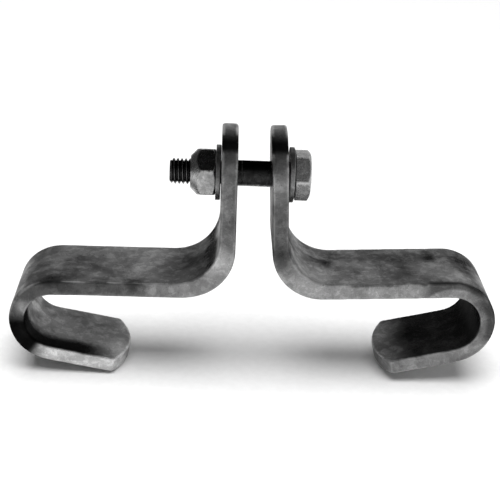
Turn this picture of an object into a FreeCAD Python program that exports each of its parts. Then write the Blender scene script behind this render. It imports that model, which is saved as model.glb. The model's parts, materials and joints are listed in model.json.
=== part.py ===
import FreeCAD, Part
import math
import os
from FreeCAD import Placement, Rotation, Vector

# Two-jaw strap clamp. Two identical bent straps hang on one bolt.
# Millimetres. The origin is on the bolt axis, midway between the two legs. +X runs along the bolt
# to its head, +Y across the bars and +Z up, so the hooks are below the bolt.

INCH = 25.4

# Flat bar that both jaws are bent from
BAR_WIDTH = 1.75 * INCH
BAR_THICK = 0.3125 * INCH
BAR_EDGE_RADIUS = 1.0

# Jaw, from the bolt axis and the leg's inner face
LEG_GAP = 16.4             # between the two legs' inner faces, on the bolt axis
LEG_TOP_CENTRE = 1.9       # centre of the leg's round top above the bolt axis
ARM_DROP = 50.2            # bolt axis to the arm's upper face
LEG_BEND_RADIUS = 22.8     # inner radius
LEG_CORNER_RADIUS = 25.0   # outer radius: the forged bend is fuller outside than a plain one
JAW_REACH = 110.8          # leg's inner face to the outermost point of the hook
HOOK_RADIUS = 14.2         # inner radius, half of the throat
HOOK_TURN = 169.0          # degrees, so the return opens towards the leg
RETURN_LENGTH = 40.0       # straight part after the hook, on the bar's middle line
END_CROWN = 7.0            # how far the free end's arc stands beyond its corners
JAW_HOLE_DIA = 0.5625 * INCH
LEFT_ROCK = -0.5           # degrees each jaw leans on the bolt inside its hole's clearance
RIGHT_ROCK = 2.9           # positive brings the leg's top inwards and the hook up

# Bolt, nut and washers, 1/2-13 UNC heavy hexagon
BOLT_DIA = 0.5 * INCH
BOLT_LENGTH = 2.375 * INCH
THREAD_PITCH = INCH / 13
THREAD_LENGTH = 1.25 * INCH
HEX_ACROSS_FLATS = 0.875 * INCH
HEAD_THICK = 0.3125 * INCH
NUT_THICK = 31.0 / 64.0 * INCH
WASHER_OUTER_DIA = 1.0625 * INCH
WASHER_HOLE_DIA = 0.53125 * INCH
WASHER_THICK = 0.095 * INCH
WASHER_EDGE_RADIUS = 0.4
HEAD_CORNER_RISE = 3.0     # degrees above the horizontal of the corner that faces -Y
NUT_CORNER_RISE = 21.0

# Shapes of the hexagons' ends
HEAD_CHAMFER_ANGLE = 30.0
HEAD_FACE_RATIO = 0.92     # end face's diameter over the width across flats
WASHER_FACE_HEIGHT = 0.4
WASHER_FACE_RATIO = 0.96   # bearing face's diameter over the width across flats
NUT_CROWN_ANGLE = 45.0     # forged crown on the nut's outer end
NUT_CROWN_FACE_DIA = 15.6
NUT_HOLE_CHAMFER_DIA = 13.4

# Thread form
THREAD_HALF_ANGLE = 30.0
BOLT_FLANK_SHARE = 0.375   # how much of the pitch one flank takes up along the axis
NUT_FLANK_SHARE = 0.3125   # shorter, because the nut's crest is cut wider
ROOT_FLAT_SHARE = 0.125    # of the pitch
THREAD_ALLOWANCE = 0.04    # off the bolt's outside radius
THREAD_CLEARANCE = 0.12    # between the bolt's and the nut's thread, everywhere
SEAT_CLEARANCE = 0.05      # between a jaw's leg and its washer where they come closest
TIP_CHAMFER = 1.4          # on the bolt's end

Y_AXIS = Vector(0, 1, 0)
Z_AXIS = Vector(0, 0, 1)
MARGIN = 1.0               # how far a cutting shape stands beyond what it cuts


def in_xz(x, z):
    return Vector(x, 0, z)


def full_corner(start, end, angle, turn, plain_radius, radius):
    """Edges of a bend's outside that runs on past the plain bend's start and end and turns on a smaller radius."""
    side = math.copysign(1.0, turn)
    run_on = (plain_radius - radius) * math.tan(abs(turn) / 2)

    def forward(direction):
        return in_xz(math.cos(direction), math.sin(direction))

    def outward(direction):
        return in_xz(math.sin(direction), -math.cos(direction)) * side

    first = start + forward(angle) * run_on
    last = end - forward(angle + turn) * run_on
    middle = first + (outward(angle + turn / 2) - outward(angle)) * radius
    return [
        Part.makeLine(start, first),
        Part.Arc(first, middle, last).toShape(),
        Part.makeLine(last, end),
    ]


def bent_strip(start, heading, steps, thick):
    """Closed outline, in the XZ plane, of a strip that follows straight and bent steps from its start.

    A step is ("straight", length) or ("bend", inner radius, turn, outer radius). A positive turn is to the
    left, and an outer radius of None keeps the strip's thickness. Returns the wire, and the position and
    heading at the strip's end.
    """
    half = thick / 2
    position = start
    angle = math.radians(heading)
    edges = []
    ends = []

    def side_points(point, direction):
        across = in_xz(-math.sin(direction), math.cos(direction)) * half
        return point + across, point - across

    ends.append(side_points(position, angle))
    for step in steps:
        before = side_points(position, angle)
        if step[0] == "straight":
            position = position + in_xz(math.cos(angle), math.sin(angle)) * step[1]
            after = side_points(position, angle)
            edges.extend(Part.makeLine(a, b) for a, b in zip(before, after))
            continue
        turn = math.radians(step[2])
        side = math.copysign(1.0, turn)
        radius = step[1] + half
        centre = position + in_xz(-math.sin(angle), math.cos(angle)) * (side * radius)

        def on_bend(part):
            direction = angle + turn * part
            outward = in_xz(math.sin(direction), -math.cos(direction)) * (side * radius)
            return centre + outward, direction

        middle = side_points(*on_bend(0.5))
        position, end_angle = on_bend(1.0)
        after = side_points(position, end_angle)
        sides = list(zip(before, middle, after))
        if step[3] is not None:
            outside = sides.pop(1 if side > 0 else 0)
            edges.extend(full_corner(outside[0], outside[2], angle, turn, radius + half, step[3]))
        edges.extend(Part.Arc(*points).toShape() for points in sides)
        angle = end_angle
    ends.append(side_points(position, angle))
    edges.extend(Part.makeLine(*pair) for pair in ends)
    return Part.Wire(Part.__sortEdges__(edges)), position, angle


def make_jaw():
    """One jaw in its own frame: leg's inner face on x = 0, bolt axis through z = 0, hook at +X."""
    half_width = BAR_WIDTH / 2
    half_thick = BAR_THICK / 2
    leg_top = LEG_TOP_CENTRE + half_width
    leg_straight = leg_top + ARM_DROP - LEG_BEND_RADIUS
    arm_straight = JAW_REACH - 2 * BAR_THICK - LEG_BEND_RADIUS - HOOK_RADIUS
    steps = (
        ("straight", leg_straight),
        ("bend", LEG_BEND_RADIUS, 90.0, LEG_CORNER_RADIUS),
        ("straight", arm_straight),
        ("bend", HOOK_RADIUS, -HOOK_TURN, None),
        ("straight", RETURN_LENGTH),
    )
    outline, end, end_heading = bent_strip(in_xz(half_thick, leg_top), -90.0, steps, BAR_THICK)
    face = Part.Face(outline)
    face.translate(Vector(0, -half_width, 0))
    jaw = face.extrude(Vector(0, BAR_WIDTH, 0)).removeSplitter()

    # Full round top of the leg
    corner_height = half_width + MARGIN
    corners = Part.makeBox(
        BAR_THICK + 2 * MARGIN,
        BAR_WIDTH + 2 * MARGIN,
        corner_height,
        Vector(-MARGIN, -half_width - MARGIN, LEG_TOP_CENTRE),
    )
    round_top = Part.makeCylinder(
        half_width,
        BAR_THICK + 4 * MARGIN,
        Vector(-2 * MARGIN, 0, LEG_TOP_CENTRE),
        Vector(1, 0, 0),
    )
    jaw = jaw.cut(corners.cut(round_top))

    # Crowned free end: an arc across the bar, END_CROWN high
    crown_radius = (half_width**2 + END_CROWN**2) / (2 * END_CROWN)
    waste_length = END_CROWN + MARGIN
    waste = Part.makeBox(
        waste_length,
        BAR_WIDTH + 2 * MARGIN,
        BAR_THICK + 2 * MARGIN,
        Vector(-END_CROWN, -half_width - MARGIN, -half_thick - MARGIN),
    )
    crown = Part.makeCylinder(
        crown_radius,
        BAR_THICK + 4 * MARGIN,
        Vector(-crown_radius, 0, -half_thick - 2 * MARGIN),
    )
    waste = waste.cut(crown)
    waste.Placement = Placement(end, Rotation(Y_AXIS, -math.degrees(end_heading)))
    jaw = jaw.cut(waste)

    jaw = round_bar_edges(jaw)
    hole = Part.makeCylinder(
        JAW_HOLE_DIA / 2,
        BAR_THICK + 2 * MARGIN,
        Vector(-MARGIN, 0, 0),
        Vector(1, 0, 0),
    )
    return jaw.cut(hole)


def round_bar_edges(jaw):
    """Rounds every edge of the bar, except the seams straight across it where a bend meets a straight."""
    edges = []
    for edge in jaw.Edges:
        box = edge.BoundBox
        if max(box.XLength, box.ZLength) > BAR_EDGE_RADIUS:
            edges.append(edge)
    return jaw.makeFillet(BAR_EDGE_RADIUS, edges)


def hexagon(low, high, corner_rise):
    """Hexagonal prism along Z, turned so that on the bolt it has a corner corner_rise above -Y."""
    radius = HEX_ACROSS_FLATS / math.sqrt(3)
    corners = []
    for i in range(7):
        angle = math.radians(60 * i - 90 - corner_rise)
        corners.append(Vector(radius * math.cos(angle), radius * math.sin(angle), low))
    face = Part.Face(Part.makePolygon(corners))
    return face.extrude(Vector(0, 0, high - low))


def turned(profile):
    """Solid of revolution about Z of an outline of (radius, height) points."""
    points = [in_xz(r, z) for r, z in profile]
    face = Part.Face(Part.makePolygon(points + points[:1]))
    return face.revolve(Vector(0, 0, 0), Z_AXIS, 360)


def thread_groove(start, length, clearance):
    """Right-hand thread groove along Z, up from start. A clearance above 0 gives the groove for the nut.

    The helix starts one pitch below start, so grooves with one start are in mesh.
    """
    slope = math.tan(math.radians(THREAD_HALF_ANGLE))
    root = BOLT_DIA / 2 - BOLT_FLANK_SHARE * THREAD_PITCH / slope
    half_root = ROOT_FLAT_SHARE * THREAD_PITCH / 2
    if clearance > 0:
        nut_crest = BOLT_DIA / 2 - NUT_FLANK_SHARE * THREAD_PITCH / slope
        flank_shift = clearance / math.cos(math.radians(THREAD_HALF_ANGLE))
        half_root = half_root + (nut_crest - root) * slope - flank_shift
        root = nut_crest
    outside = BOLT_DIA / 2 + MARGIN
    half_outside = half_root + (outside - root) * slope
    outline = Part.makePolygon(
        [
            in_xz(root, -half_root),
            in_xz(outside, -half_outside),
            in_xz(outside, half_outside),
            in_xz(root, half_root),
            in_xz(root, -half_root),
        ]
    )
    helix = Part.makeHelix(THREAD_PITCH, length + THREAD_PITCH, root)
    groove = Part.Wire(helix).makePipeShell([outline], True, True)
    groove.translate(Vector(0, 0, start - THREAD_PITCH))
    return groove


def make_bolt():
    """Bolt along Z: the head's bearing face on z = 0, the head above it and the shank below."""
    corner_radius = HEX_ACROSS_FLATS / math.sqrt(3)
    face_radius = HEX_ACROSS_FLATS / 2 * HEAD_FACE_RATIO
    chamfer_height = (corner_radius - face_radius) * math.tan(math.radians(HEAD_CHAMFER_ANGLE))
    head = hexagon(WASHER_FACE_HEIGHT, HEAD_THICK, HEAD_CORNER_RISE)
    head_limit = turned(
        (
            (0, -MARGIN),
            (corner_radius + MARGIN, -MARGIN),
            (corner_radius + MARGIN, HEAD_THICK - chamfer_height),
            (corner_radius, HEAD_THICK - chamfer_height),
            (face_radius, HEAD_THICK),
            (0, HEAD_THICK),
        )
    )
    shank_radius = BOLT_DIA / 2 - THREAD_ALLOWANCE
    washer_face_radius = HEX_ACROSS_FLATS / 2 * WASHER_FACE_RATIO
    shank = turned(
        (
            (0, -BOLT_LENGTH),
            (shank_radius - TIP_CHAMFER, -BOLT_LENGTH),
            (shank_radius, -BOLT_LENGTH + TIP_CHAMFER),
            (shank_radius, 0),
            (washer_face_radius, 0),
            (washer_face_radius, WASHER_FACE_HEIGHT),
            (0, WASHER_FACE_HEIGHT),
        )
    )
    blank = shank.fuse(head.common(head_limit))
    return blank.cut(thread_groove(-BOLT_LENGTH, THREAD_LENGTH, 0.0))


def make_nut(inner_face):
    """Nut along Z on the bolt's thread, its inner face on z = inner_face and its crown below."""
    outer_face = inner_face - NUT_THICK
    corner_radius = HEX_ACROSS_FLATS / math.sqrt(3)
    crown_radius = NUT_CROWN_FACE_DIA / 2
    crown_height = (corner_radius - crown_radius) / math.tan(math.radians(NUT_CROWN_ANGLE))
    inner_radius = HEX_ACROSS_FLATS / 2 * WASHER_FACE_RATIO
    inner_height = (corner_radius - inner_radius) * math.tan(math.radians(HEAD_CHAMFER_ANGLE))
    body = hexagon(outer_face, inner_face, NUT_CORNER_RISE)
    body = body.common(
        turned(
            (
                (0, outer_face),
                (crown_radius, outer_face),
                (corner_radius, outer_face + crown_height),
                (corner_radius, inner_face - inner_height),
                (inner_radius, inner_face),
                (0, inner_face),
            )
        )
    )
    tap_radius = BOLT_DIA / 2 - THREAD_ALLOWANCE + THREAD_CLEARANCE
    tap = Part.makeCylinder(tap_radius, THREAD_LENGTH + 2 * THREAD_PITCH, Vector(0, 0, -BOLT_LENGTH))
    tap = tap.cut(thread_groove(-BOLT_LENGTH, THREAD_LENGTH, THREAD_CLEARANCE))
    body = body.cut(tap)
    mouth = NUT_HOLE_CHAMFER_DIA / 2
    for face, inward in ((outer_face, 1.0), (inner_face, -1.0)):
        countersink = turned(
            (
                (0, face - inward * MARGIN),
                (mouth + MARGIN, face - inward * MARGIN),
                (0, face + inward * mouth),
            )
        )
        body = body.cut(countersink)
    return body


def make_washer(low):
    """Plain washer along Z, from z = low, with rounded outer edges."""
    ring = Part.makeCylinder(WASHER_OUTER_DIA / 2, WASHER_THICK, Vector(0, 0, low))
    ring = ring.makeFillet(WASHER_EDGE_RADIUS, [e for e in ring.Edges if len(e.Vertexes) == 1])
    hole = Part.makeCylinder(WASHER_HOLE_DIA / 2, WASHER_THICK + 2 * MARGIN, Vector(0, 0, low - MARGIN))
    return ring.cut(hole)


def washer_seat(rock):
    """Distance from the leg's middle to its washer, which stays square to the bolt while the leg leans."""
    lean = math.radians(abs(rock))
    return BAR_THICK / 2 / math.cos(lean) + WASHER_OUTER_DIA / 2 * math.tan(lean) + SEAT_CLEARANCE


def place_jaw(jaw, rock, turn):
    """Leans the jaw about the middle of its hole, sets it beside the gap and turns it about Z."""
    placed = jaw.copy()
    placed.translate(Vector(-BAR_THICK / 2, 0, 0))
    placed.rotate(Vector(0, 0, 0), Y_AXIS, -rock)
    placed.translate(Vector(LEG_GAP / 2 + BAR_THICK / 2, 0, 0))
    placed.rotate(Vector(0, 0, 0), Z_AXIS, turn)
    return placed


def place_on_bolt(shape, head_face):
    """Lays a shape that was built along Z onto the X axis, with the head's bearing face on x = head_face."""
    placed = shape.copy()
    placed.rotate(Vector(0, 0, 0), Y_AXIS, 90)
    placed.translate(Vector(head_face, 0, 0))
    return placed


def main():
    leg_middle = (LEG_GAP + BAR_THICK) / 2
    right_seat = leg_middle + washer_seat(RIGHT_ROCK)
    left_seat = -leg_middle - washer_seat(LEFT_ROCK)
    head_face = right_seat + WASHER_THICK
    nut_face = left_seat - WASHER_THICK

    jaw = make_jaw()
    nodes = {
        "left_jaw": place_jaw(jaw, LEFT_ROCK, 180),
        "right_jaw": place_jaw(jaw, RIGHT_ROCK, 0),
        "bolt": place_on_bolt(make_bolt(), head_face),
        "nut": place_on_bolt(make_nut(nut_face - head_face), head_face),
        "left_washer": place_on_bolt(make_washer(nut_face - head_face), head_face),
        "right_washer": place_on_bolt(make_washer(right_seat - head_face), head_face),
    }
    os.makedirs("parts", exist_ok=True)
    for name, shape in nodes.items():
        solid = shape.Solids[0]
        if len(shape.Solids) != 1 or not solid.isValid():
            raise ValueError(name + " is not one valid solid")
        solid.exportStep("parts/" + name + ".step")
        box = solid.BoundBox
        print(name, round(solid.Volume), [round(v, 2) for v in (box.XMin, box.YMin, box.ZMin)],
              [round(v, 2) for v in (box.XMax, box.YMax, box.ZMax)])


main()
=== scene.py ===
"""Looks of the two-jaw strap clamp: hot-bent flat-bar jaws, bolt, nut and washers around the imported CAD.

Metres, in the CAD's frame: the bolt axis is X with the head at +X, +Y goes across the bars to the back
and +Z is up. Each visible piece stands for one CAD node and rides on that node's body. The jaws are even,
dense meshes of the CAD's own shape, and the bolt, nut and washers are built ring by ring.
"""

import json
import math

import bpy
import numpy as np
from mathutils import Matrix, Vector, noise


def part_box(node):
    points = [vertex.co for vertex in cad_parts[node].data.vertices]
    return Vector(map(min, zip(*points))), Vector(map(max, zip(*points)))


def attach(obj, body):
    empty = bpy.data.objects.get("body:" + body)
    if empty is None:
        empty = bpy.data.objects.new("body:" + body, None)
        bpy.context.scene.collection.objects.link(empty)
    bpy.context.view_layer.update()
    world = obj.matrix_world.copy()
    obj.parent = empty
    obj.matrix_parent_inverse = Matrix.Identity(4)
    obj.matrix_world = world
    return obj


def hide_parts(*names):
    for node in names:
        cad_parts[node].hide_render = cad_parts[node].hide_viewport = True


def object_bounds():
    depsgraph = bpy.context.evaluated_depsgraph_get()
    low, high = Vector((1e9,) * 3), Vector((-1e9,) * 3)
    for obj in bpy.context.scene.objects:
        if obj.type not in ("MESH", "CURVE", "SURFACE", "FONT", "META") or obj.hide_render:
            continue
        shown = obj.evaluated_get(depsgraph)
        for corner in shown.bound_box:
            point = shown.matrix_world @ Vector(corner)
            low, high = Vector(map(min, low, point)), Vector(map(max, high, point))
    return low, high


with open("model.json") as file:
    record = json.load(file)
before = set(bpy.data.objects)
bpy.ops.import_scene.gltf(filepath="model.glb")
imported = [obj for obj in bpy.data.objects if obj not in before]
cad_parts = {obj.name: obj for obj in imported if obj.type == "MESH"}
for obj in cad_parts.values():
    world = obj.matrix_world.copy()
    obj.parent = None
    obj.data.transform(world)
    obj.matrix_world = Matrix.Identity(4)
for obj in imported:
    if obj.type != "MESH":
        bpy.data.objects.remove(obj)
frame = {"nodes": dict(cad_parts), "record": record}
cad_low, cad_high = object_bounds()

MM = 0.001

# Camera
CAMERA_AZIMUTH = -2.1       # degrees, 0 looks along +Y
CAMERA_ELEVATION = 24.35
CAMERA_ROLL = 2.74          # the right side sits lower in the picture
CAMERA_DISTANCE = 598 * MM
CAMERA_TARGET = Vector((-0.3, 0.0, -40.9)) * MM
CAMERA_LENS = 86.0          # on a sensor SENSOR_WIDTH wide, both in mm
SENSOR_WIDTH = 36.0

# Studio. The walls' light goes by the sine of the height above the horizon.
FLOOR_HALF = 6.0
PANEL_PLACE = (0.0, -0.2, 2.2)
PANEL_SIZE = 2.4
PANEL_POWER = 84.0
WALL_LIGHT = ((0.0, 0.8), (0.42, 0.64), (0.65, 0.27), (0.81, 0.03), (1.0, 0.006))
DARK_SIDE_FULL = -0.6       # X of the direction where the left side is darkest
DARK_SIDE_EDGE = 0.05       # and where it is as light as the rest
DARK_SIDE_LIGHT = 0.12

# Flat bar
BAR_THICK = 7.94 * MM
LEG_BEND_RADIUS = 22.8 * MM         # inner radius
ARM_DROP = 50.2 * MM                # bolt axis to the arm's upper face
LEG_GAP = 16.4 * MM
JAW_VOXEL = 0.6 * MM
JAW_SMOOTHING = 5                   # rounds, which soften the arrises
SIDE_DRAW = 0.25 * MM               # how far a bend's stretched side narrows at each edge of the bar
DENT_DEPTH = 0.13 * MM
DENT_SIZE = 14 * MM
RIPPLE_DEPTH = 0.03 * MM
RIPPLE_SIZE = 3.2 * MM

# Tones: 1 is a steel's own
CLOUD_SIZE = 24 * MM
CLOUD_STRENGTH = 0.38
DARKEST_TONE = 0.02
LIGHTEST_TONE = 2.0
HEAD_TONE = 1.7
NUT_TONE = 1.5
WASHER_TONE = 0.9
SHANK_TONE = 0.12
THREAD_LIGHT = 0.38                 # added to the shank's tone along the thread
UNDERSIDE_REFLECTION = 0.8               # and where the shank faces down, a painted reflection of the pale floor

# How far a vertex stands off its smoothed neighbours on an edge that counts as fully worn
JAW_EDGE_STAND = 0.08 * MM
FASTENER_EDGE_STAND = 0.06 * MM

# Soft round marks on the jaws: middle, radii and strength, in millimetres. The middle is how far out and
# how far back it lies on an arm's top, and how far out and how high it lies anywhere else.
LEFT_TOP_MARKS = (
    ((84, 3), (4, 5), 0.3),
    ((93, -14), (12, 6), 0.35),
    ((34, 6), (11, 14), 0.3),
    ((68, -14), (7, 5), 0.25),
)
LEFT_ARRIS_MARKS = (
    ((98, -52), (8, 3), 0.6),
    ((73, -52), (8, 3), 0.45),
    ((56, -52), (5, 3), 0.45),
)
# painted shadow on the concave inside of the left leg's bend
LEFT_BEND_SHADOW = (((19, -39), (6, 7), 0.75),)
# painted highlight on the front face inside the left hook
LEFT_HOOK_HIGHLIGHT = (((111.5, -65.5), (2.8, 3), 3.0),)
RIGHT_TOP_MARKS = (
    ((39, 4), (3.6, 6), 0.65),
    ((92, 10), (3.6, 5), 0.5),
    ((76, 8), (16, 12), 0.3),
    ((110, 8), (8, 16), 0.5),
)
RIGHT_TOP_LIGHT = (((99, -12), (8, 5), 0.6),)
RIGHT_LEG_MARK = (((14, -34), (8, 8), 0.8),)

# Bolt and nut
BOLT_RADIUS = 6.35 * MM
SHANK_RADIUS = 6.31 * MM            # also that of the thread's crests
TIP_CHAMFER = 1.4 * MM
HEX_ACROSS_FLATS = 22.225 * MM
HEX_EDGE_ROUND = 0.7 * MM
HEAD_THICK = 7.94 * MM
HEAD_CORNER_RISE = 3.0              # degrees above the horizontal of the corner that faces -Y
NUT_CORNER_RISE = 21.0
HEAD_CHAMFER_SLOPE = math.tan(math.radians(30.0))
HEAD_FACE_RADIUS = 0.92 * HEX_ACROSS_FLATS / 2
HEAD_FACE_BORDER = 0.35 * MM        # from the end face's edge to where it is quite flat
HEAD_EDGE = 0.12 * MM
WASHER_FACE_RADIUS = 0.96 * HEX_ACROSS_FLATS / 2
WASHER_FACE_HEIGHT = 0.4 * MM
NUT_CROWN_RADIUS = 7.8 * MM
NUT_MOUTH_RADIUS = 6.7 * MM
NUT_EDGE = 0.15 * MM
CENTRE_RADIUS = 0.1 * MM            # the smallest ring of an end face
COLUMNS = 144                       # round the bolt, 24 to a flat

# Thread. Its shares are of the pitch.
THREAD_LENGTH = 31.75 * MM
THREAD_HALF_ANGLE = math.radians(30.0)
THREAD_SLOPE = math.tan(THREAD_HALF_ANGLE)
THREAD_CLEARANCE = 0.12 * MM
THREAD_CREASE = 0.08 * MM
BOLT_FLANK_SHARE = 0.375
NUT_FLANK_SHARE = 0.3125
ROOT_FLAT_SHARE = 0.125
RINGS_A_TURN = 16
RUN_OUT = 3.0 * MM                  # how the groove fades into the shank

# Washers
WASHER_HOLE_RADIUS = 6.75 * MM
WASHER_ROLLED_EDGE = 0.6 * MM       # radius of the rim's drawn-over edge
WASHER_MOUTH_EDGE = 0.25 * MM       # the hole's edge on the drawn-over side
WASHER_BACK_EDGE = 0.2 * MM         # and both edges on the crisp side

# Forging marks: depth, size and seed
BOLT_FORGING = (0.03 * MM, 3 * MM, 1.0)
NUT_FORGING = (0.03 * MM, 4 * MM, 2.0)
WASHER_FORGING = (0.02 * MM, 5 * MM, 3.0)


# ---------------------------------------------------------------- small helpers
def link(thing):
    bpy.context.scene.collection.objects.link(thing)
    return thing


def smoothstep(low, high, value):
    """0 below low, 1 above high and smooth between; works with low above high too."""
    t = np.clip((value - low) / (high - low), 0.0, 1.0)
    return t * t * (3.0 - 2.0 * t)


def smooth_min(a, b, reach):
    """The lower of a and b, with the crease between them rounded over reach."""
    h = np.clip(0.5 + 0.5 * (b - a) / reach, 0.0, 1.0)
    return b * (1.0 - h) + a * h - reach * h * (1.0 - h)


def field(points, size, offset, octaves):
    """Soft noise, about -1 to 1, whose features are about size across."""
    roughness = 0.9
    lacunarity = 2.1
    scaled = points / size + np.array(offset)
    return np.array([noise.fractal(p, roughness, lacunarity, octaves) for p in scaled.tolist()])


def mesh_points(mesh):
    points = np.empty(len(mesh.vertices) * 3, np.float32)
    mesh.vertices.foreach_get("co", points)
    return points.reshape(-1, 3).astype(float)


def mesh_normals(mesh):
    normals = np.empty(len(mesh.vertices) * 3, np.float32)
    mesh.vertex_normals.foreach_get("vector", normals)
    return normals.reshape(-1, 3).astype(float)


def set_points(mesh, points):
    mesh.vertices.foreach_set("co", points.astype(np.float32).ravel())
    mesh.update()


def neighbour_mean(mesh, values):
    """Mean of each vertex's neighbours, for one or more columns of values."""
    ends = np.empty(len(mesh.edges) * 2, np.int32)
    mesh.edges.foreach_get("vertices", ends)
    a, b = ends.reshape(-1, 2).T
    table = values.reshape(len(values), -1)
    total = np.zeros_like(table)
    np.add.at(total, a, table[b])
    np.add.at(total, b, table[a])
    count = np.bincount(ends, minlength=len(values))[:, None]
    return (total / np.maximum(count, 1)).reshape(values.shape)


def smoothed(mesh, points, rounds):
    """The points after so many rounds of moving each one halfway to its neighbours' mean."""
    for _ in range(rounds):
        points = points + 0.5 * (neighbour_mean(mesh, points) - points)
    return points


def edge_sharpness(mesh, rounds, scale):
    """How far each vertex stands off its neighbours: about 1 on outward edges, below 0 in inner corners."""
    points = mesh_points(mesh)
    stand = points - smoothed(mesh, points, rounds)
    return np.einsum("ij,ij->i", stand, mesh_normals(mesh)) / scale


def paint(mesh, name, values):
    """Writes one value a vertex, which the materials read by name."""
    layer = mesh.attributes.new(name, "FLOAT", "POINT")
    layer.data.foreach_set("value", np.asarray(values, np.float32))


def shade_smooth(mesh):
    mesh.polygons.foreach_set("use_smooth", np.ones(len(mesh.polygons), bool))
    mesh.update()


def stand_for(piece, node):
    """The piece rides on the node's body in its place."""
    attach(piece, node)
    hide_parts(node)


# ---------------------------------------------------------------- jaws
def hook_seat(side):
    """A hook's centre, as X and Z with the jaw taken as a right one, and its inner radius.

    side is 1 for the right jaw and -1 for the left one.
    """
    name = ("right" if side > 0 else "left") + "_hook_seat"
    mount = next(m for m in frame["record"]["mounts"] if m["name"] == name)
    x, _, z = mount["pos_m"]
    return (side * x, z), mount["dims"]["r_mm"] * MM


def polar(points, centre):
    """Distance and angle of each point about a line along Y through centre, which is given as X and Z."""
    dx = points[:, 0] - centre[0]
    dz = points[:, 2] - centre[1]
    return np.hypot(dx, dz), np.arctan2(dz, dx)


def jaw_mesh(node_name):
    """The CAD node's shape as an even mesh, dense enough to carry dents and soft edges."""
    node = frame["nodes"][node_name]
    source = link(bpy.data.objects.new("source", node.data.copy()))
    remesh = source.modifiers.new("even", "REMESH")
    remesh.mode = "VOXEL"
    remesh.voxel_size = JAW_VOXEL
    view = bpy.context.evaluated_depsgraph_get()
    mesh = bpy.data.meshes.new_from_object(source.evaluated_get(view), depsgraph=view)
    bpy.data.objects.remove(source)
    set_points(mesh, smoothed(mesh, mesh_points(mesh), JAW_SMOOTHING))
    return mesh


def bend_amount(points, side):
    """0 to 1: how far each point is towards the stretched side of its bend, and how well inside the bend."""
    mirrored = points * [side, 1, 1]
    hook_centre, hook_radius = hook_seat(side)
    radius, angle = polar(mirrored, hook_centre)
    turned = np.degrees(angle)
    outward = np.clip((radius - hook_radius) / BAR_THICK, 0, 1)
    inside = smoothstep(-100, -60, turned) * smoothstep(100, 60, turned)
    hook = outward * inside * (radius < hook_radius + 1.2 * BAR_THICK)
    leg_centre = (LEG_GAP / 2 + BAR_THICK + LEG_BEND_RADIUS, -ARM_DROP + LEG_BEND_RADIUS)
    radius, angle = polar(mirrored, leg_centre)
    turned = np.degrees(np.mod(angle, 2 * math.pi))
    outward = np.clip((radius - LEG_BEND_RADIUS) / BAR_THICK, 0, 1)
    inside = smoothstep(170, 205, turned) * smoothstep(280, 245, turned)
    leg = outward * inside * (radius < LEG_BEND_RADIUS + 1.4 * BAR_THICK)
    return np.maximum(hook, leg)


def shape_jaw(mesh, side):
    """Draws the bends' stretched sides in and gives the faces the shallow dents of hot work, all inward."""
    points = mesh_points(mesh)
    draw = SIDE_DRAW * bend_amount(points, side) * points[:, 1] / cad_high.y
    points[:, 1] -= draw
    set_points(mesh, points)
    dents = 0.5 + 0.5 * field(points, DENT_SIZE, (side * 3.1, 0.7, 5.2), 2)
    ripple = 0.5 + 0.5 * field(points, RIPPLE_SIZE, (side * 8.3, 2.9, 1.4), 2)
    depth = DENT_DEPTH * np.clip(dents, 0, 1) + RIPPLE_DEPTH * np.clip(ripple, 0, 1)
    set_points(mesh, points - mesh_normals(mesh) * depth[:, None])


def patches(across, along, marks):
    """Sum of soft round marks, each with its middle, two radii and strength, in millimetres."""
    total = 0
    for middle, radii, strength in marks:
        first = (across - middle[0]) / radii[0]
        second = (along - middle[1]) / radii[1]
        total = total + strength * np.exp(-first ** 2 - second ** 2)
    return total


class JawPlaces:
    """Where each of a jaw's vertices lies: how far out, which face, which bend.

    points is in metres. out, y, z and depth are in millimetres, with the jaw taken as a right one: depth
    goes into the bar from the hook's inside. turn is the angle about the hook's centre, in degrees. The
    rest go from 0 to 1.
    """

    def __init__(self, mesh, side):
        normals = mesh_normals(mesh)
        centre, inner_radius = hook_seat(side)
        self.points = mesh_points(mesh)
        mirrored = self.points * [side, 1, 1]
        radius, angle = polar(mirrored, centre)
        centre_out = centre[0] / MM
        centre_z = centre[1] / MM
        arm_z = -ARM_DROP / MM
        self.out, self.y, self.z = mirrored.T / MM
        self.turn = np.degrees(angle)
        self.depth = (radius - inner_radius) / MM
        self.up = np.clip(normals[:, 2], 0, 1)
        self.front = np.clip(-normals[:, 1], 0, 1) ** 2
        self.flat = 1 - np.clip(np.abs(normals[:, 1]), 0, 1) ** 2
        self.near_front = smoothstep(-13, -19, self.y)
        self.in_hook = smoothstep(centre_out - 3, centre_out + 1, self.out)
        self.low = smoothstep(centre_z + 4, centre_z - 4, self.z)
        self.arm = smoothstep(arm_z - 12, arm_z - 6, self.z)
        inner_bend = self.in_hook * smoothstep(3, 1, self.depth)
        inner_return = (1 - self.in_hook) * self.low * smoothstep(0.2, 0.6, normals[:, 2])
        # the hook's inner faces, where the marks paint shade
        self.hollow_shade = np.clip(inner_bend + inner_return, 0, 1) * self.flat


def leg_tone(at):
    """Burnt scale on the leg, rubbed off again on its round top, with a painted dark reflection as a black
    band under the top.
    """
    leg = smoothstep(30, 16, at.out) * smoothstep(-38, -20, at.z)
    top = smoothstep(21.5, 24, at.z)
    # painted dark reflection: a black band on the front under the leg's round top
    painted_dark_band = smoothstep(15.5, 18, at.z) * smoothstep(23, 20, at.z) * smoothstep(-2, -7, at.y)
    return (1 - 0.4 * leg * (1 - top)) * (1 + 0.4 * top) * (1 - 0.88 * painted_dark_band)


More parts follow.
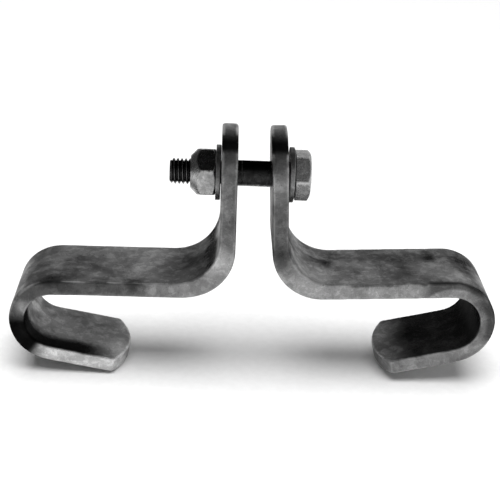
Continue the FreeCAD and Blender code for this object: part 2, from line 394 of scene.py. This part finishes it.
def jaw_tone(at, side):
    """How light the steel is: 1 is clean bar, below 1 is burnt scale, grime and painted shade, above 1 is
    rubbed bare steel and painted light.
    """
    clouds = field(at.points, CLOUD_SIZE, (side * 1.7, 9.1, 4.4), 3)
    # painted light on the front faces low in the leg's bend
    painted_bend_light = at.front * smoothstep(50, 30, at.out) * smoothstep(-30, -42, at.z)
    return (1 + CLOUD_STRENGTH * clouds) * leg_tone(at) * (1 + 0.3 * painted_bend_light)


def left_marks(at):
    """The left jaw's own marks: painted shade on the front edge of the arm and hook, painted shade as black
    bands inside the hook, and painted light on the return's front faces.
    """
    # painted shade along the front edge of the arm and the hook
    hook_edge_shade = at.in_hook * smoothstep(-62, -48, at.turn)
    arm_edge_shade = at.arm * (1 - at.in_hook)
    edge = at.front * smoothstep(46, 60, at.out) * np.maximum(at.arm, at.in_hook) * (hook_edge_shade + arm_edge_shade)
    # painted shade: black bands near the front in the hook and over the hook's inner faces
    painted_dark_band = at.near_front * at.in_hook * smoothstep(14, -6, at.turn) * smoothstep(-66, -50, at.turn)
    painted_hollow_streak = at.hollow_shade * smoothstep(-6, -16, at.y) * smoothstep(60, 84, at.out) * smoothstep(35, 10, at.turn)
    # painted light on the return's front faces
    painted_front_light = at.front * at.low * (1 - at.in_hook * smoothstep(-80, -60, at.turn))
    free_end = at.low * at.flat * smoothstep(76, 62, at.out)
    tone = (1 - 0.6 * edge) * (1 - 0.96 * painted_dark_band) * (1 - 0.97 * painted_hollow_streak)
    # painted shadow in the leg's bend
    tone *= 1 - at.flat * patches(at.out, at.z, LEFT_BEND_SHADOW)
    tone *= 1 - at.up * at.arm * patches(at.out, at.y, LEFT_TOP_MARKS)
    tone *= 1 - at.near_front * patches(at.out, at.z, LEFT_ARRIS_MARKS)
    # painted highlight on the hook's front face
    tone *= 1 + at.front * patches(at.out, at.z, LEFT_HOOK_HIGHLIGHT)
    return tone * (1 + 0.95 * painted_front_light) * (1 + 0.7 * free_end)


def right_marks(at):
    """The right jaw's own marks: painted shade in the hook's hollow, dark stripes along the hook and blotches
    on the arm.
    """
    # painted shade over the hook's inner faces
    hollow_shade = at.hollow_shade * smoothstep(64, 86, at.out)
    arris = smoothstep(-17, -20.5, at.y) * smoothstep(4.5, 6, at.depth)
    stripe = arris * smoothstep(83, 90, at.out) * smoothstep(38, 56, at.turn)
    outer = at.near_front * at.in_hook * smoothstep(2, 5, at.depth)
    outer *= smoothstep(52, 30, at.turn) * smoothstep(-38, -16, at.turn)
    return_edge = at.front * at.low * (1 - at.in_hook)
    top_marks = patches(at.out, at.y, RIGHT_TOP_MARKS) + 0.2 * smoothstep(60, 84, at.out)
    tone = (1 - 0.85 * hollow_shade) * (1 - 0.6 * stripe) * (1 - 0.6 * outer) * (1 - 0.25 * return_edge)
    tone *= 1 - patches(at.out, at.z, RIGHT_LEG_MARK)
    tone *= 1 - at.up * at.arm * top_marks
    return tone * (1 + at.flat * at.arm * patches(at.out, at.y, RIGHT_TOP_LIGHT))


def make_jaw(side):
    name = "right_jaw" if side > 0 else "left_jaw"
    mesh = jaw_mesh(name)
    shape_jaw(mesh, side)
    shade_smooth(mesh)
    at = JawPlaces(mesh, side)
    marks = right_marks(at) if side > 0 else left_marks(at)
    tone = np.clip(jaw_tone(at, side) * marks, DARKEST_TONE, LIGHTEST_TONE)
    paint(mesh, "tone", tone)
    paint(mesh, "wear", edge_sharpness(mesh, 4, JAW_EDGE_STAND) * smoothstep(0.15, 0.6, tone))
    mesh.materials.clear()
    mesh.materials.append(JAW_STEEL)
    piece = link(bpy.data.objects.new(name + "_bar", mesh))
    stand_for(piece, name)


# ---------------------------------------------------------------- turned and threaded pieces
def hex_radius(angle, corner_rise):
    """Outline of the hexagon round the X axis, with its corners rounded. angle is from +Y towards +Z."""
    corner = math.pi - math.radians(corner_rise)
    turned = np.mod(angle - corner, math.pi / 3) - math.pi / 6
    flat = HEX_ACROSS_FLATS / 2
    here = flat / np.cos(turned)
    next_flat = flat / np.cos(np.abs(turned) - math.pi / 3)
    return smooth_min(here, next_flat, HEX_EDGE_ROUND)


def root_radius(pitch, flank_share):
    return BOLT_RADIUS - flank_share * pitch / THREAD_SLOPE


def thread_radius(x, angle, tip, pitch, in_nut):
    """Radius at x of a right-hand thread about the X axis, whose groove starts below the bolt at its tip."""
    turns = (x - tip) / pitch - (angle + math.pi / 2) / (2 * math.pi)
    off_centre = np.abs(turns - np.round(turns)) * pitch
    root = root_radius(pitch, BOLT_FLANK_SHARE)
    half_root = ROOT_FLAT_SHARE * pitch / 2
    outside = SHANK_RADIUS
    if in_nut:
        nut_root = root_radius(pitch, NUT_FLANK_SHARE)
        half_root += (nut_root - root) * THREAD_SLOPE - THREAD_CLEARANCE / math.cos(THREAD_HALF_ANGLE)
        root = nut_root
        outside = SHANK_RADIUS + THREAD_CLEARANCE
    return np.clip(root + (off_centre - half_root) / THREAD_SLOPE, root, outside)


def ring_mesh(name, rings, closed):
    """Mesh from rings of points round the X axis, whose outer side is built towards +X.

    A closed one joins the last ring to the first, else both ends are capped.
    """
    rings = np.array(rings)
    count, columns = rings.shape[:2]
    points = rings.reshape(-1, 3).tolist()
    faces = []
    for i in range(count if closed else count - 1):
        a = i * columns
        b = (i + 1) % count * columns
        for j in range(columns):
            k = (j + 1) % columns
            faces.append((a + j, a + k, b + k, b + j))
    if not closed:
        for i, order in ((0, -1), (count - 1, 1)):
            centre = len(points)
            points.append(rings[i].mean(0).tolist())
            for j in range(columns):
                pair = (i * columns + j, i * columns + (j + 1) % columns)
                faces.append((centre,) + pair[::order])
    mesh = bpy.data.meshes.new(name)
    mesh.from_pydata(points, [], faces)
    mesh.update()
    shade_smooth(mesh)
    return mesh


def column_angles():
    return np.arange(COLUMNS) * 2 * math.pi / COLUMNS


def ring(x, radius):
    """One ring of points; x and radius are numbers or one value a column."""
    angle = column_angles()
    x = np.broadcast_to(x, angle.shape)
    radius = np.broadcast_to(radius, angle.shape)
    return np.stack([x, radius * np.cos(angle), radius * np.sin(angle)], 1)


def face_rings(x, radius_from, radius_to, count):
    """Rings across a flat face, between two radii, ends left out."""
    shares = np.linspace(0, 1, count + 2)[1:-1]
    return [ring(x, radius_from + (radius_to - radius_from) * s) for s in shares]


def hex_rings(x_from, x_to, cone, corner_rise, count):
    """Rings along a hexagon that a cone cuts: cone gives the largest radius at x."""
    outline = hex_radius(column_angles(), corner_rise)
    rings = []
    for x in np.linspace(x_from, x_to, count):
        rings.append(ring(x, smooth_min(outline, np.full(COLUMNS, cone(x)), 0.5 * HEX_EDGE_ROUND)))
    return rings


def shank_rings(tip, head_face, pitch):
    """The bolt's chamfered end, its thread with the run-out, and the plain shank."""
    angle = column_angles()
    tip_radius = SHANK_RADIUS - TIP_CHAMFER
    thread_end = tip + THREAD_LENGTH
    rings = face_rings(tip, CENTRE_RADIUS, tip_radius, 5)
    for x in np.arange(tip, thread_end + RUN_OUT, pitch / RINGS_A_TURN):
        limit = min(SHANK_RADIUS, tip_radius + (x - tip))
        groove = thread_radius(x, angle, tip, pitch, False)
        fade = smoothstep(thread_end - RUN_OUT, thread_end, x)
        groove = groove + (SHANK_RADIUS - groove) * fade
        rings.append(ring(x, smooth_min(groove, np.full(COLUMNS, limit), THREAD_CREASE)))
    for x in np.linspace(thread_end + RUN_OUT, head_face, 24):
        rings.append(ring(x, SHANK_RADIUS))
    return rings


def head_rings(head_face):
    """The washer face under the head, the hexagon and its chamfered end."""
    outline = hex_radius(column_angles(), HEAD_CORNER_RISE)
    seat = head_face + WASHER_FACE_HEIGHT
    top = head_face + HEAD_THICK
    flat_radius = HEAD_FACE_RADIUS - HEAD_FACE_BORDER

    def cone(x):
        return HEAD_FACE_RADIUS + (top - x) / HEAD_CHAMFER_SLOPE

    rings = face_rings(head_face, SHANK_RADIUS, WASHER_FACE_RADIUS, 4)
    rings.append(ring(head_face + 0.3 * HEAD_EDGE, WASHER_FACE_RADIUS - 0.3 * HEAD_EDGE))
    rings.append(ring(head_face + HEAD_EDGE, WASHER_FACE_RADIUS))
    # a crisp inner corner, then the hexagon's rounded lower edge
    rings.append(ring(seat - 0.02 * MM, WASHER_FACE_RADIUS))
    rings.append(ring(seat, WASHER_FACE_RADIUS + 0.5 * (outline - WASHER_FACE_RADIUS)))
    rings.append(ring(seat + 0.05 * MM, outline - 0.15 * MM))
    rings += hex_rings(seat + 0.2 * MM, top - HEAD_EDGE, cone, HEAD_CORNER_RISE, 34)
    rings.append(ring(top - 0.25 * HEAD_EDGE, HEAD_FACE_RADIUS - HEAD_EDGE))
    rings.append(ring(top, flat_radius))
    return rings + face_rings(top, flat_radius, CENTRE_RADIUS, 12)


def nut_mesh(crown_face, seat_face, tip, pitch):
    """Rings over the forged crown, along the hexagon, across the seat and back along the thread."""
    angle = column_angles()
    mouth = NUT_MOUTH_RADIUS
    edge = NUT_EDGE

    def cone(x):
        outer = NUT_CROWN_RADIUS + (x - crown_face)
        inner = WASHER_FACE_RADIUS + (seat_face - x) / HEAD_CHAMFER_SLOPE
        return min(outer, inner)

    rings = [ring(crown_face, mouth + edge)]
    rings += face_rings(crown_face, mouth + edge, NUT_CROWN_RADIUS - edge, 2)
    rings.append(ring(crown_face + 0.3 * edge, NUT_CROWN_RADIUS - 0.3 * edge))
    rings += hex_rings(crown_face + edge, seat_face - edge, cone, NUT_CORNER_RISE, 60)
    rings.append(ring(seat_face - 0.3 * edge, WASHER_FACE_RADIUS - 0.3 * edge))
    rings += face_rings(seat_face, WASHER_FACE_RADIUS - edge, mouth + edge, 5)
    steps = int(round((seat_face - crown_face) / (pitch / RINGS_A_TURN)))
    for x in np.linspace(seat_face - 0.3 * edge, crown_face + 0.3 * edge, steps):
        thread = thread_radius(x, angle, tip, pitch, True)
        countersink = mouth - min(x - crown_face, seat_face - x)
        rings.append(ring(x, -smooth_min(-thread, np.full(COLUMNS, -countersink), THREAD_CREASE)))
    return ring_mesh("nut", rings, True)


def washer_mesh(name):
    """Washer punched from sheet: the punch side's edges are drawn over and the other side's are crisp."""
    low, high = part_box(name)
    outer = high.y
    hole = WASHER_HOLE_RADIUS
    rolled = WASHER_ROLLED_EDGE
    thick = high.x - low.x
    rings = []
    for radius in np.linspace(hole + WASHER_MOUTH_EDGE, outer - rolled, 10):
        rings.append(ring(high.x, radius))
    for turn in np.radians(np.linspace(20, 90, 6)):
        rings.append(ring(high.x - rolled * (1 - math.cos(turn)), outer - rolled * (1 - math.sin(turn))))
    for share in np.linspace(0.3, 0.92, 6):
        rings.append(ring(high.x - thick * share, outer))
    rings.append(ring(low.x + 0.04 * MM, outer - 0.05 * MM))
    for radius in np.linspace(outer - WASHER_BACK_EDGE, hole + WASHER_BACK_EDGE, 10):
        rings.append(ring(low.x, radius))
    for share in np.linspace(0.04, 0.9, 6):
        rings.append(ring(low.x + thick * share, hole))
    return ring_mesh(name, rings[::-1], True)


def roughen(mesh, depth, size, seed):
    """Shallow forging marks, inward only."""
    points = mesh_points(mesh)
    marks = np.clip(0.5 + 0.5 * field(points, size, (seed, 2.2, 7.5), 2), 0, 1)
    set_points(mesh, points - mesh_normals(mesh) * (depth * marks)[:, None])


def bolt_tone(mesh, tip, head_face, pitch):
    """Bright head, oily black shank with a painted reflection of the floor along its underside, and a thread
    darkest in its groove.
    """
    points = mesh_points(mesh)
    radius = np.hypot(points[:, 1], points[:, 2])
    root = root_radius(pitch, BOLT_FLANK_SHARE)
    threaded = smoothstep(tip + THREAD_LENGTH, tip + THREAD_LENGTH - RUN_OUT, points[:, 0])
    groove = threaded * smoothstep(SHANK_RADIUS - 0.1 * MM, root, radius)
    # painted reflection of the floor where the shank faces down
    floor_reflection = smoothstep(-0.45, -0.85, points[:, 2] / radius)
    on_head = points[:, 0] > head_face - 0.1 * MM
    shank = SHANK_TONE + THREAD_LIGHT * threaded + UNDERSIDE_REFLECTION * floor_reflection
    return np.where(on_head, HEAD_TONE, shank) * (1 - 0.6 * groove)


def even_tone(mesh, tone):
    return np.full(len(mesh.vertices), tone)


def dress(mesh, node, piece_name, material, tone):
    """Paints a fastener's mesh and makes it the piece that stands for the node."""
    paint(mesh, "tone", tone)
    paint(mesh, "wear", edge_sharpness(mesh, 2, FASTENER_EDGE_STAND))
    mesh.materials.append(material)
    piece = link(bpy.data.objects.new(piece_name, mesh))
    stand_for(piece, node)


def make_fasteners():
    pitch = 2 * math.pi / frame["record"]["behaviour"]["couplings"][0]["ratio"]
    bolt_low, bolt_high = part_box("bolt")
    nut_low, nut_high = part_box("nut")
    tip = bolt_low.x
    head_face = bolt_high.x - HEAD_THICK

    mesh = ring_mesh("bolt", shank_rings(tip, head_face, pitch) + head_rings(head_face), False)
    roughen(mesh, *BOLT_FORGING)
    tone = bolt_tone(mesh, tip, head_face, pitch)
    dress(mesh, "bolt", "hex_bolt", FASTENER_STEEL, tone)

    mesh = nut_mesh(nut_low.x, nut_high.x, tip, pitch)
    roughen(mesh, *NUT_FORGING)
    dress(mesh, "nut", "hex_nut", FASTENER_STEEL, even_tone(mesh, NUT_TONE))

    for name in ("left_washer", "right_washer"):
        mesh = washer_mesh(name)
        roughen(mesh, *WASHER_FORGING)
        dress(mesh, name, name + "_ring", WASHER_STEEL, even_tone(mesh, WASHER_TONE))


# ---------------------------------------------------------------- materials
class Tree:
    """Short calls for building a shader from nodes."""

    def __init__(self, material):
        material.use_nodes = True
        self.nodes = material.node_tree.nodes
        self.links = material.node_tree.links
        self.shader = self.nodes["Principled BSDF"]

    def put(self, socket, value):
        if isinstance(value, bpy.types.NodeSocket):
            self.links.new(value, socket)
        else:
            socket.default_value = value

    def math(self, operation, a, b=0.0, c=0.0):
        node = self.nodes.new("ShaderNodeMath")
        node.operation = operation
        for socket, value in zip(node.inputs, (a, b, c)):
            self.put(socket, value)
        return node.outputs[0]

    def product(self, first, *others):
        for value in others:
            first = self.math("MULTIPLY", first, value)
        return first

    def plus_share(self, start, share, value):
        """start plus share of value."""
        return self.math("MULTIPLY_ADD", value, share, start)

    def grey(self, value):
        node = self.nodes.new("ShaderNodeCombineColor")
        for socket in node.inputs[:3]:
            self.put(socket, value)
        return node.outputs[0]

    def attribute(self, name):
        node = self.nodes.new("ShaderNodeAttribute")
        node.attribute_name = name
        return node.outputs["Fac"]

    def place(self):
        return self.nodes.new("ShaderNodeTexCoord").outputs["Object"]

    def noise(self, place, per_metre, detail, roughness, distortion=0.0):
        node = self.nodes.new("ShaderNodeTexNoise")
        self.put(node.inputs["Vector"], place)
        self.put(node.inputs["Scale"], per_metre)
        self.put(node.inputs["Detail"], detail)
        self.put(node.inputs["Roughness"], roughness)
        self.put(node.inputs["Distortion"], distortion)
        return node.outputs["Fac"]

    def cells(self, place, per_metre):
        node = self.nodes.new("ShaderNodeTexVoronoi")
        self.put(node.inputs["Vector"], place)
        self.put(node.inputs["Scale"], per_metre)
        return node.outputs["Distance"]

    def stretch(self, place, scale):
        node = self.nodes.new("ShaderNodeMapping")
        self.put(node.inputs["Vector"], place)
        node.inputs["Scale"].default_value = scale
        return node.outputs["Vector"]

    def between(self, value, low, high, to_low=0.0, to_high=1.0):
        """to_low where value is low or less, to_high where it is high or more, and smooth between."""
        node = self.nodes.new("ShaderNodeMapRange")
        node.interpolation_type = "SMOOTHSTEP"
        self.put(node.inputs["Value"], value)
        for name, number in zip(("From Min", "From Max", "To Min", "To Max"), (low, high, to_low, to_high)):
            self.put(node.inputs[name], number)
        return node.outputs["Result"]

    def bump(self, height, strength, distance, normal=None):
        node = self.nodes.new("ShaderNodeBump")
        self.put(node.inputs["Height"], height)
        node.inputs["Strength"].default_value = strength
        node.inputs["Distance"].default_value = distance
        if normal is not None:
            self.put(node.inputs["Normal"], normal)
        return node.outputs["Normal"]


def make_steel(name, base, metal, roughness, cloud_size, grain_size):
    """Dark steel: cloudy scale flaked off in spots, fine grain, small pits, scratches and rubbed edges."""
    material = bpy.data.materials.new(name)
    tree = Tree(material)
    place = tree.place()
    along_bar = tree.stretch(place, (1.0, 14.0, 14.0))
    clouds = tree.noise(place, 1 / cloud_size, detail=5.0, roughness=0.6, distortion=0.6)
    blotches = tree.noise(place, 3.1 / cloud_size, detail=4.0, roughness=0.55, distortion=0.3)
    scale = tree.noise(place, 7.0 / cloud_size, detail=7.0, roughness=0.66, distortion=0.5)
    flakes = tree.between(scale, 0.5, 0.57)
    grain = tree.noise(place, 1 / grain_size, detail=3.0, roughness=0.6)
    pits = tree.between(tree.cells(place, 0.28 / grain_size), 0.05, 0.22)
    scratches = tree.noise(along_bar, 0.12 / grain_size, detail=3.0, roughness=0.7)
    wear = tree.between(tree.attribute("wear"), 0.25, 1.0)
    broken_wear = tree.product(wear, tree.between(blotches, 0.35, 0.6, 0.25, 1.0))

    shade = tree.product(
        tree.between(clouds, 0.32, 0.68, 0.72, 1.22),
        tree.between(blotches, 0.34, 0.6, 0.82, 1.1),
        tree.between(flakes, 0.0, 1.0, 0.88, 1.1),
        tree.between(grain, 0.3, 0.7, 0.86, 1.12),
        tree.between(pits, 0.0, 1.0, 0.7, 1.0),
        tree.attribute("tone"),
    )
    value = tree.plus_share(tree.product(shade, base), 0.11, broken_wear)
    value = tree.math("MINIMUM", value, 0.8)
    tree.put(tree.shader.inputs["Base Color"], tree.grey(value))
    tree.put(tree.shader.inputs["Metallic"], tree.plus_share(metal, -0.42, broken_wear))
    tree.put(tree.shader.inputs["Specular Tint"], tree.grey(tree.between(shade, 0.0, 1.0, 0.0, 0.9)))

    rough = tree.between(clouds, 0.3, 0.7, roughness + 0.1, roughness - 0.05)
    rough = tree.plus_share(rough, 0.12, grain)
    rough = tree.plus_share(rough, -0.06, flakes)
    rough = tree.plus_share(rough, -0.08, broken_wear)
    tree.put(tree.shader.inputs["Roughness"], rough)

    normal = tree.bump(grain, 0.35, 0.06 * MM)
    normal = tree.bump(scratches, 0.25, 0.05 * MM, normal)
    normal = tree.bump(blotches, 0.35, 0.25 * MM, normal)
    normal = tree.bump(flakes, 0.4, 0.05 * MM, normal)
    normal = tree.bump(pits, 0.5, 0.06 * MM, normal)
    tree.put(tree.shader.inputs["Normal"], normal)
    return material


# ---------------------------------------------------------------- camera, floor and light
def direction(azimuth, elevation):
    """From the target towards a camera at that azimuth and elevation, in degrees."""
    a = math.radians(azimuth)
    e = math.radians(elevation)
    return Vector((math.sin(a) * math.cos(e), -math.cos(a) * math.cos(e), math.sin(e)))


def make_camera():
    azimuth = math.radians(CAMERA_AZIMUTH)
    back = direction(CAMERA_AZIMUTH, CAMERA_ELEVATION)
    right = Vector((math.cos(azimuth), math.sin(azimuth), 0.0))
    up = back.cross(right)
    roll = math.radians(CAMERA_ROLL)
    rolled_right = right * math.cos(roll) + up * math.sin(roll)
    rolled_up = up * math.cos(roll) - right * math.sin(roll)
    data = bpy.data.cameras.new("camera")
    data.lens = CAMERA_LENS
    data.sensor_width = SENSOR_WIDTH
    data.clip_start = 0.01
    data.clip_end = 50.0
    camera = link(bpy.data.objects.new("camera", data))
    camera.location = CAMERA_TARGET + back * CAMERA_DISTANCE
    camera.rotation_mode = "QUATERNION"
    camera.rotation_quaternion = Matrix((rolled_right, rolled_up, back)).transposed().to_quaternion()
    bpy.context.scene.camera = camera


def make_floor():
    mesh = bpy.data.meshes.new("floor")
    signs = ((-1, -1), (1, -1), (1, 1), (-1, 1))
    corners = [(x * FLOOR_HALF, y * FLOOR_HALF, cad_low.z) for x, y in signs]
    mesh.from_pydata(corners, [], [(0, 1, 2, 3)])
    material = bpy.data.materials.new("pale_floor")
    tree = Tree(material)
    speckle = tree.noise(tree.place(), 300.0, detail=2.0, roughness=0.5)
    tree.put(tree.shader.inputs["Base Color"], tree.grey(tree.between(speckle, 0.3, 0.7, 0.90, 0.93)))
    tree.shader.inputs["Roughness"].default_value = 0.95
    tree.shader.inputs["Specular IOR Level"].default_value = 0.1
    mesh.materials.append(material)
    link(bpy.data.objects.new("floor", mesh))


def make_world():
    """A studio with pale walls, a dark ceiling and a dark left side."""
    world = bpy.data.worlds.new("studio")
    bpy.context.scene.world = world
    world.use_nodes = True
    nodes = world.node_tree.nodes
    links = world.node_tree.links
    background = nodes["Background"]
    coord = nodes.new("ShaderNodeTexCoord")
    split = nodes.new("ShaderNodeSeparateXYZ")
    links.new(coord.outputs["Generated"], split.inputs[0])

    ramp = nodes.new("ShaderNodeValToRGB")
    elements = ramp.color_ramp.elements
    elements[0].position = WALL_LIGHT[0][0]
    elements[1].position = WALL_LIGHT[-1][0]
    for height, _ in WALL_LIGHT[1:-1]:
        elements.new(height)
    for element, (_, value) in zip(elements, WALL_LIGHT):
        element.color = (value, value, value, 1.0)
    links.new(split.outputs["Z"], ramp.inputs["Fac"])
    links.new(ramp.outputs["Color"], background.inputs["Color"])

    side = nodes.new("ShaderNodeMapRange")
    side.interpolation_type = "SMOOTHSTEP"
    side.inputs["From Min"].default_value = DARK_SIDE_FULL
    side.inputs["From Max"].default_value = DARK_SIDE_EDGE
    side.inputs["To Min"].default_value = DARK_SIDE_LIGHT
    side.inputs["To Max"].default_value = 1.0
    links.new(split.outputs["X"], side.inputs["Value"])
    links.new(side.outputs["Result"], background.inputs["Strength"])


def make_panel():
    """Soft ceiling panel that lights the floor and fills shadows but isn't mirrored in the steel."""
    data = bpy.data.lights.new("ceiling_panel", "AREA")
    data.size = PANEL_SIZE
    data.energy = PANEL_POWER
    light = link(bpy.data.objects.new("ceiling_panel", data))
    light.location = PANEL_PLACE
    light.rotation_mode = "QUATERNION"
    light.rotation_quaternion = (-Vector(PANEL_PLACE)).to_track_quat("-Z", "Y")
    light.visible_glossy = False


make_camera()
make_floor()
make_world()
make_panel()
bpy.context.scene.view_settings.view_transform = "Standard"

JAW_STEEL = make_steel(
    "jaw_scale_steel", base=0.23, metal=0.88, roughness=0.34, cloud_size=26 * MM, grain_size=0.55 * MM
)
FASTENER_STEEL = make_steel(
    "fastener_steel", base=0.22, metal=1.0, roughness=0.22, cloud_size=12 * MM, grain_size=0.3 * MM
)
WASHER_STEEL = make_steel(
    "washer_steel", base=0.25, metal=0.95, roughness=0.3, cloud_size=14 * MM, grain_size=0.3 * MM
)

for jaw_side in (-1, 1):
    make_jaw(jaw_side)
make_fasteners()
